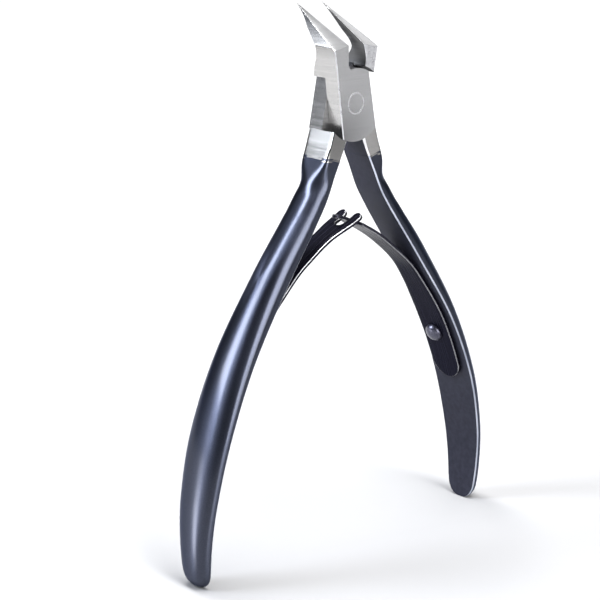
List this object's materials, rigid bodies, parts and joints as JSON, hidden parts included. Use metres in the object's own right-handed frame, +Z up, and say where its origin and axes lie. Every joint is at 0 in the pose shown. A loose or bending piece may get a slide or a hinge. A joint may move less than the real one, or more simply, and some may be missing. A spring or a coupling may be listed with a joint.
{
  "type": "nail nipper",
  "caption": "Plier-type nail nipper with bent cutting jaws, a lap joint on a pivot pin, bowed handles and two crossed leaf springs that hold it open.",
  "frame": {"origin": "on the pivot axis, at the flat front face of the lap joint", "axes": "+Z up from the handles to the jaws, +X from the left handle to the right one, +Y along the pivot from front to back"},
  "size_m": [0.0896, 0.0175, 0.1247],
  "materials": {
    "brushed_steel": "fine brushed, ground bevels",
    "pin_steel": "satin",
    "blue_coat": "glossy metallic dark blue",
    "spring_steel": "satin dark blue-grey, brushed along its length",
    "rivet_steel": "satin dark blue-grey"
  },
  "bodies": {
    "back_half": {"back_half": "brushed_steel", "left_handle": "blue_coat", "pivot_pin": "pin_steel", "left_spring_foot": "spring_steel", "left_spring_rivet": "rivet_steel"},
    "front_half": {"front_half": "brushed_steel", "right_handle": "blue_coat", "right_spring_foot": "spring_steel", "right_spring_rivet": "rivet_steel"},
    "left_spring": {"left_spring_blade": "spring_steel"},
    "right_spring": {"right_spring_blade": "spring_steel"}
  },
  "joints": [
    {"name": "jaw_pivot", "type": "hinge", "parent": "back_half", "child": "front_half", "pos_m": [0, 0, 0], "axis": [0, 1, 0], "range_deg": [0, 19.2], "stiffness_Nm_per_rad": 1},
    {"name": "left_spring_flex", "type": "hinge", "parent": "back_half", "child": "left_spring", "pos_m": [-0.02135, 0.0048, -0.042], "axis": [0, -1, 0], "range_deg": [0, 10.6]},
    {"name": "right_spring_flex", "type": "hinge", "parent": "front_half", "child": "right_spring", "pos_m": [0.02135, 0.0048, -0.042], "axis": [0, 1, 0], "range_deg": [0, 10.6]}
  ],
  "couplings": [
    {"joint": "left_spring_flex", "follows": "jaw_pivot", "ratio": 0.55},
    {"joint": "right_spring_flex", "follows": "jaw_pivot", "ratio": 0.55}
  ]
}
